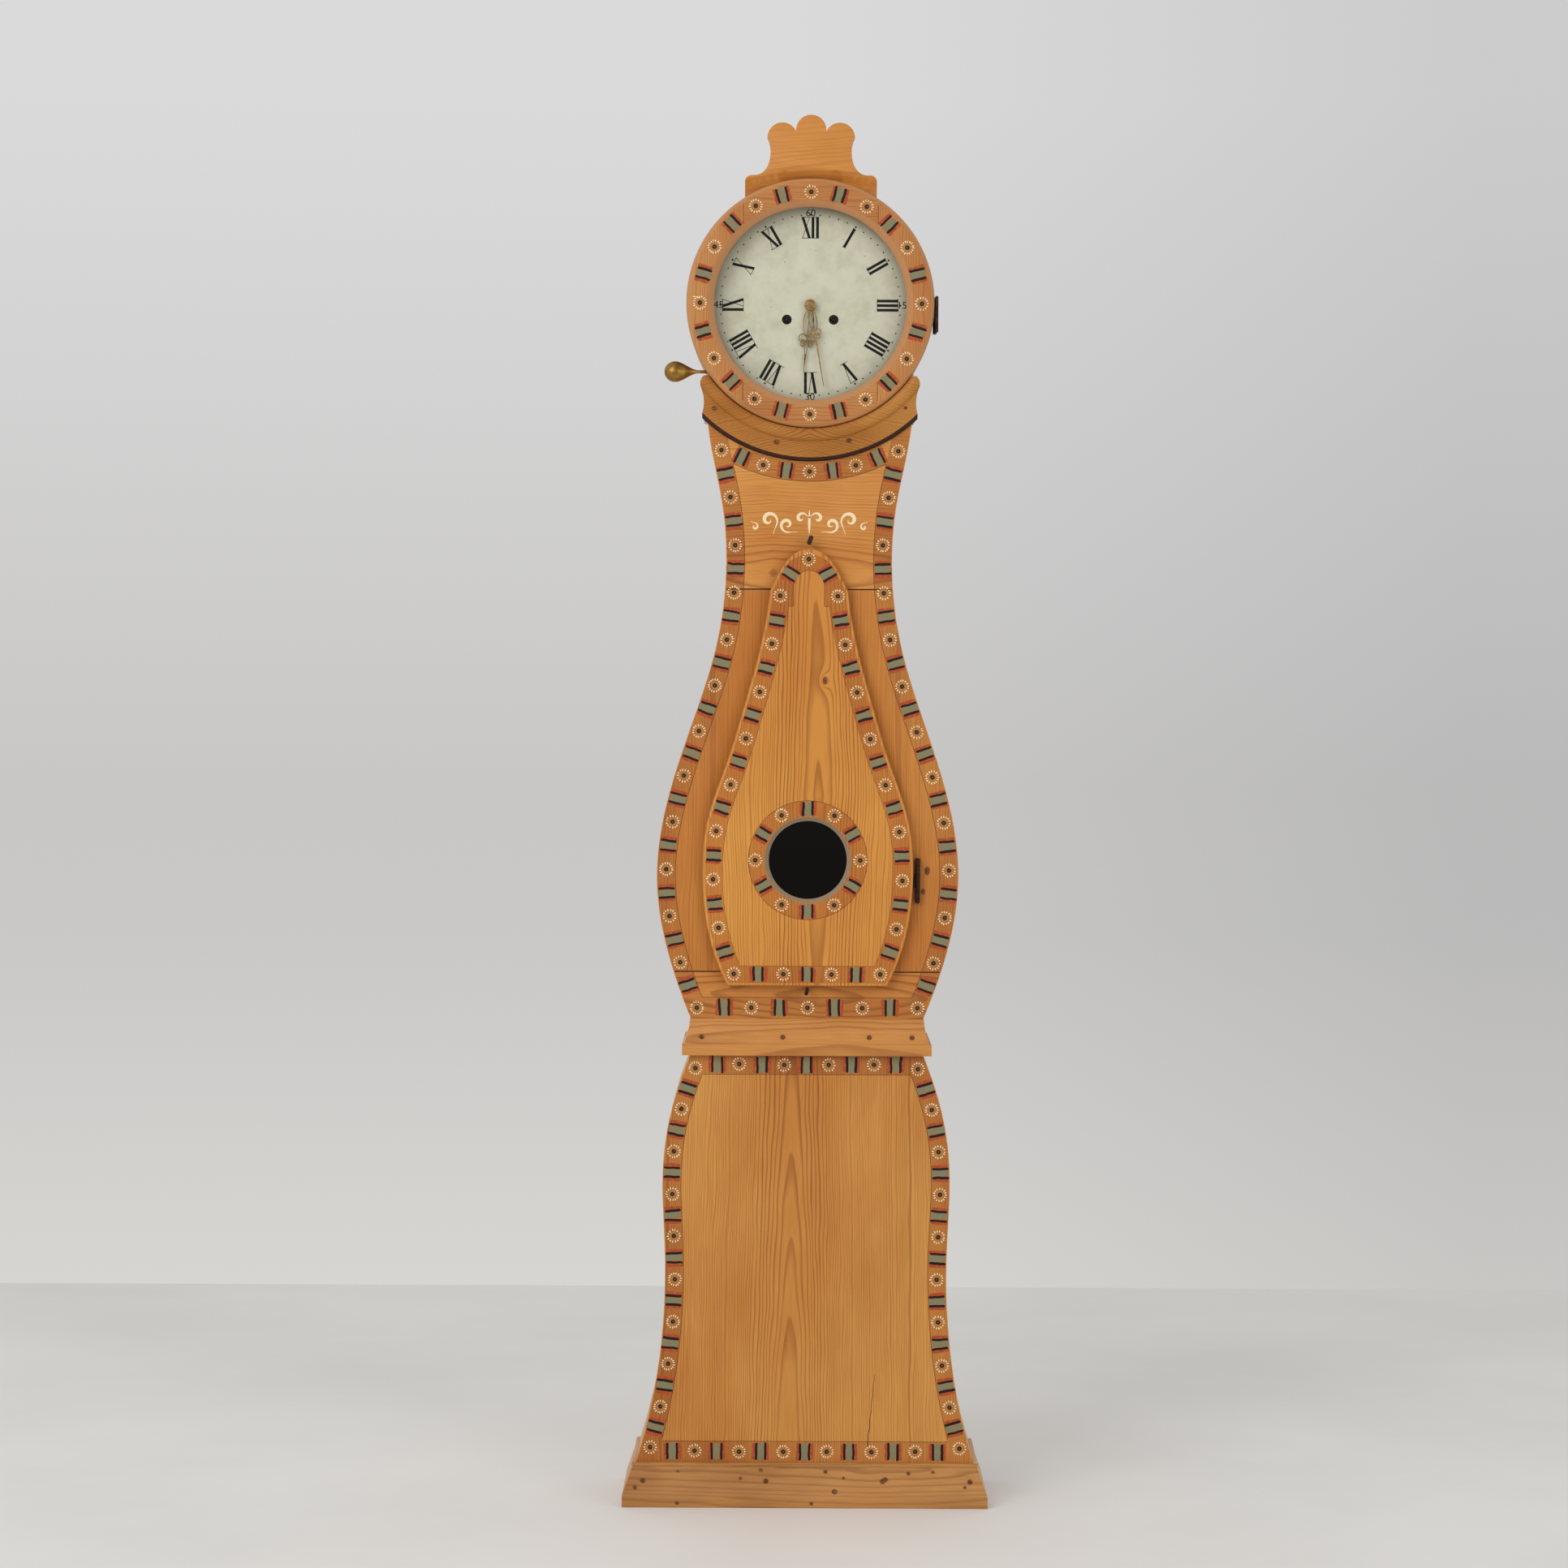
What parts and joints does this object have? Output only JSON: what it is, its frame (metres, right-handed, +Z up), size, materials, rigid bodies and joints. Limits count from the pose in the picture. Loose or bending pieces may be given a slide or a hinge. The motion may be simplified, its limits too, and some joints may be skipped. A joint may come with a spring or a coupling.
{
  "type": "longcase clock",
  "caption": "Tall curved pine clock case with a round glazed hood door, shaped trunk door with round window, two hands, pendulum and weights.",
  "frame": {"origin": "on the floor, under the middle of the clock", "axes": "+X to the right seen from the front, +Y to the back, +Z up"},
  "size_m": [0.564, 0.2234, 2.14],
  "materials": {
    "pine_board": "waxed pine with painted borders",
    "raw_pine": "unfinished aged pine",
    "dark_paint": "dark brown painted bead",
    "putty": "painted glazing bead",
    "clear_glass": "old clear sheet glass",
    "dark_glass": "glass over a dark inside",
    "forged_iron": "forged, blackened",
    "old_brass": "worn brass",
    "steel": "filed steel",
    "dial_paint": "aged cream oil paint on sheet iron",
    "lead": "cast",
    "gut": "gut line"
  },
  "bodies": {
    "case": {"back_boards": "raw_pine", "bell": "old_brass", "cock_and_bell_stand": "forged_iron", "collar_bead": "dark_paint", "collar_front": "pine_board", "collar_returns": "pine_board", "crest": "pine_board", "dial": "dial_paint", "going_line": "gut", "hinge_case_leaves": "forged_iron", "hinge_pins": "forged_iron", "hood_front_frame": "pine_board", "hood_shell": "pine_board", "inner_boards": "raw_pine", "lower_front_board": "pine_board", "lower_sides": "pine_board", "movement_plates": "old_brass", "pegs": "pine_board", "pillars_and_posts": "old_brass", "plinth_front": "pine_board", "plinth_returns": "pine_board", "strike_line": "gut", "trunk_bottom_rail": "pine_board", "trunk_sides": "pine_board", "trunk_stile_left": "pine_board", "trunk_stile_right": "pine_board", "trunk_top_rail": "pine_board", "waist_moulding_front": "pine_board", "waist_moulding_returns": "pine_board"},
    "hood_door": {"hood_ring_top": "pine_board", "hood_ring_bottom": "pine_board", "hood_ring_left": "pine_board", "hood_ring_right": "pine_board", "hood_glass": "clear_glass", "hood_glass_bead": "putty", "hood_knob": "old_brass", "hood_hinge_door_leaf": "forged_iron"},
    "trunk_door": {"trunk_door": "pine_board", "window_glass": "dark_glass", "window_bead": "pine_board", "trunk_hinge_door_tang": "forged_iron"},
    "top_catch": {"top_catch": "forged_iron"},
    "bottom_catch": {"bottom_catch": "forged_iron"},
    "minute_hand": {"minute_hand": "old_brass", "cannon_pinion": "old_brass"},
    "hour_hand": {"hour_wheel": "old_brass", "hour_hand": "old_brass"},
    "minute_wheel": {"minute_wheel": "old_brass"},
    "centre_arbor": {"centre_arbor": "old_brass"},
    "third_wheel": {"third_wheel": "old_brass"},
    "escape_wheel": {"escape_wheel": "old_brass"},
    "going_barrel": {"going_barrel": "old_brass"},
    "strike_barrel": {"strike_barrel": "old_brass"},
    "pendulum": {"pendulum_rod": "forged_iron", "pendulum_bob": "old_brass", "rating_nut": "old_brass"},
    "anchor": {"anchor": "steel"},
    "hammer": {"hammer": "forged_iron"},
    "going_weight": {"going_weight": "lead"},
    "strike_weight": {"strike_weight": "lead"}
  },
  "joints": [
    {"name": "hood_door_hinge", "type": "hinge", "parent": "case", "child": "hood_door", "pos_m": [0.1932, -0.09925, 1.852], "axis": [0, 0, 1], "range_deg": [0, 150]},
    {"name": "trunk_door_hinge", "type": "hinge", "parent": "case", "child": "trunk_door", "pos_m": [0.169, -0.09625, 0.954], "axis": [0, 0, 1], "range_deg": [0, 135]},
    {"name": "top_catch_turn", "type": "hinge", "parent": "case", "child": "top_catch", "pos_m": [0, -0.10825, 1.486], "axis": [0, 1, 0], "range_deg": [0, 160]},
    {"name": "bottom_catch_turn", "type": "hinge", "parent": "case", "child": "bottom_catch", "pos_m": [0, -0.10825, 0.8], "axis": [0, 1, 0], "range_deg": [-10, 160]},
    {"name": "minute_hand_turn", "type": "hinge", "parent": "case", "child": "minute_hand", "pos_m": [0, -0.02, 1.852], "axis": [0, 1, 0], "continuous": true},
    {"name": "hour_hand_turn", "type": "hinge", "parent": "case", "child": "hour_hand", "pos_m": [0, -0.02, 1.852], "axis": [0, 1, 0], "continuous": true},
    {"name": "minute_wheel_turn", "type": "hinge", "parent": "case", "child": "minute_wheel", "pos_m": [0, -0.02, 1.822], "axis": [0, 1, 0], "continuous": true},
    {"name": "escape_wheel_turn", "type": "hinge", "parent": "case", "child": "escape_wheel", "pos_m": [0, -0.02, 1.89402], "axis": [0, 1, 0], "continuous": true},
    {"name": "third_wheel_turn", "type": "hinge", "parent": "case", "child": "third_wheel", "pos_m": [0.0126, -0.02, 1.87382], "axis": [0, 1, 0], "continuous": true},
    {"name": "centre_arbor_turn", "type": "hinge", "parent": "case", "child": "centre_arbor", "pos_m": [0, -0.02, 1.852], "axis": [0, 1, 0], "continuous": true},
    {"name": "going_barrel_turn", "type": "hinge", "parent": "case", "child": "going_barrel", "pos_m": [0.036, -0.02, 1.83], "axis": [0, 1, 0], "continuous": true},
    {"name": "strike_barrel_turn", "type": "hinge", "parent": "case", "child": "strike_barrel", "pos_m": [-0.036, -0.02, 1.83], "axis": [0, 1, 0], "continuous": true},
    {"name": "pendulum_swing", "type": "hinge", "parent": "case", "child": "pendulum", "pos_m": [0, 0.03775, 1.922], "axis": [0, 1, 0], "range_deg": [-3, 3]},
    {"name": "anchor_rock", "type": "hinge", "parent": "case", "child": "anchor", "pos_m": [0, -0.02, 1.922], "axis": [0, 1, 0], "range_deg": [-3, 3]},
    {"name": "hammer_strike", "type": "hinge", "parent": "case", "child": "hammer", "pos_m": [-0.046, -0.02, 1.892], "axis": [0, 1, 0], "range_deg": [0, 6.5]},
    {"name": "going_weight_rise", "type": "slide", "parent": "case", "child": "going_weight", "axis": [0, 0, 1], "range_m": [0, 0.85], "deforming": ["going_line"]},
    {"name": "strike_weight_rise", "type": "slide", "parent": "case", "child": "strike_weight", "axis": [0, 0, 1], "range_m": [0, 0.85], "deforming": ["strike_line"]}
  ],
  "couplings": [
    {"joint": "hour_hand_turn", "follows": "minute_hand_turn", "ratio": 0.083333},
    {"joint": "minute_wheel_turn", "follows": "minute_hand_turn", "ratio": -0.33333},
    {"joint": "third_wheel_turn", "follows": "escape_wheel_turn", "ratio": -0.13333},
    {"joint": "centre_arbor_turn", "follows": "escape_wheel_turn", "ratio": 0.016667},
    {"joint": "going_barrel_turn", "follows": "escape_wheel_turn", "ratio": -0.0013889},
    {"joint": "anchor_rock", "follows": "pendulum_swing", "ratio": 1}
  ]
}
